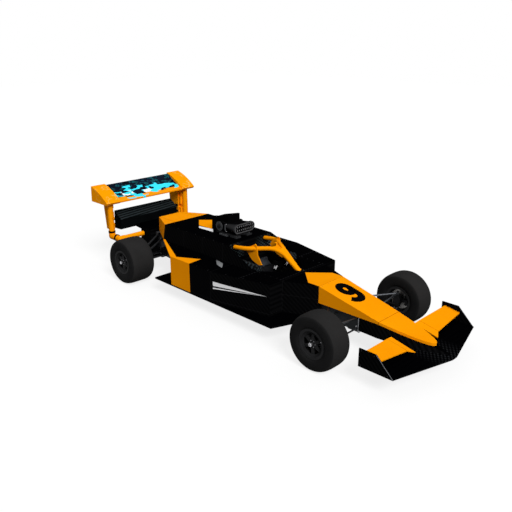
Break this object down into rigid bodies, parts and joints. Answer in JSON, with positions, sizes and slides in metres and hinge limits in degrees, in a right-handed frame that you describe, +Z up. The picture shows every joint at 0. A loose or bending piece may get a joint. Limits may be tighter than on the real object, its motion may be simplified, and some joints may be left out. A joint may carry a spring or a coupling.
{
  "type": "open wheel racing car",
  "caption": "Single-seat open wheel racing car with halo, roof air scoop, flared side pods, swept front wing and tall rear wing on pipe posts.",
  "frame": {"origin": "on the ground below the middle of the car's overall length and width", "axes": "+X to the nose, +Y to the car's left, +Z up"},
  "size_m": [5.77, 2, 1.308],
  "materials": {
    "orange_paint": "gloss orange paint",
    "black_carbon": "black twill composite, satin",
    "dark_metal": "dark grey coated metal",
    "machined_metal": "machined",
    "engine_casting": "rough cast",
    "scoop_grey": "satin dark grey",
    "seat_shell": "woven grey",
    "padding": "knitted pad",
    "wheel_grip": "matt",
    "wing_artwork": "gloss, printed pattern",
    "tyre": "slick rubber",
    "black_rim": "satin black"
  },
  "bodies": {
    "chassis": {"nose_cone": "orange_paint", "front_wing_flaps": "orange_paint", "tail_cover": "orange_paint", "halo": "orange_paint", "rear_wing_caps": "orange_paint", "rear_wing_fins": "orange_paint", "rear_wing_post_left": "orange_paint", "rear_wing_post_right": "orange_paint", "rear_wing_strut": "orange_paint", "monocoque": "black_carbon", "nose_keel": "black_carbon", "floor": "black_carbon", "front_wing_plane": "black_carbon", "front_wing_endplates": "black_carbon", "engine_cover": "black_carbon", "beam_wing": "black_carbon", "rear_crash_box": "black_carbon", "sidepod_left": "black_carbon", "sidepod_right": "black_carbon", "dash": "black_carbon", "suspension_block": "dark_metal", "gearbox": "dark_metal", "front_arms_left": "dark_metal", "front_arms_right": "dark_metal", "rear_arms_left": "dark_metal", "rear_arms_right": "dark_metal", "rear_upright_left": "machined_metal", "rear_upright_right": "machined_metal", "engine_block": "engine_casting", "intake_scoop": "scoop_grey", "blower": "scoop_grey", "seat": "seat_shell", "cockpit_padding": "padding", "steering_wheel": "wheel_grip", "rear_wing_plane": "wing_artwork"},
    "front_right_knuckle": {"front_upright_right": "machined_metal"},
    "front_right_wheel": {"front_rim_right": "black_rim", "front_tyre_right": "tyre"},
    "rear_right_wheel": {"rear_rim_right": "black_rim", "rear_tyre_right": "tyre", "drive_shaft_right": "machined_metal"},
    "front_left_knuckle": {"front_upright_left": "machined_metal"},
    "front_left_wheel": {"front_rim_left": "black_rim", "front_tyre_left": "tyre"},
    "rear_left_wheel": {"rear_rim_left": "black_rim", "rear_tyre_left": "tyre", "drive_shaft_left": "machined_metal"}
  },
  "joints": [
    {"name": "steer_right", "type": "hinge", "parent": "chassis", "child": "front_right_knuckle", "pos_m": [1.705, -0.7, 0.335], "axis": [0, 0, 1], "range_deg": [-18, 18]},
    {"name": "steer_left", "type": "hinge", "parent": "chassis", "child": "front_left_knuckle", "pos_m": [1.705, 0.7, 0.335], "axis": [0, 0, 1], "range_deg": [-18, 18]},
    {"name": "front_right_wheel_spin", "type": "hinge", "parent": "front_right_knuckle", "child": "front_right_wheel", "pos_m": [1.705, -0.8475, 0.335], "axis": [0, 1, 0], "continuous": true},
    {"name": "rear_right_wheel_spin", "type": "hinge", "parent": "chassis", "child": "rear_right_wheel", "pos_m": [-1.945, -0.8075, 0.335], "axis": [0, 1, 0], "continuous": true},
    {"name": "front_left_wheel_spin", "type": "hinge", "parent": "front_left_knuckle", "child": "front_left_wheel", "pos_m": [1.705, 0.8475, 0.335], "axis": [0, 1, 0], "continuous": true},
    {"name": "rear_left_wheel_spin", "type": "hinge", "parent": "chassis", "child": "rear_left_wheel", "pos_m": [-1.945, 0.8075, 0.335], "axis": [0, 1, 0], "continuous": true}
  ],
  "couplings": [
    {"joint": "steer_left", "follows": "steer_right", "ratio": 1}
  ]
}
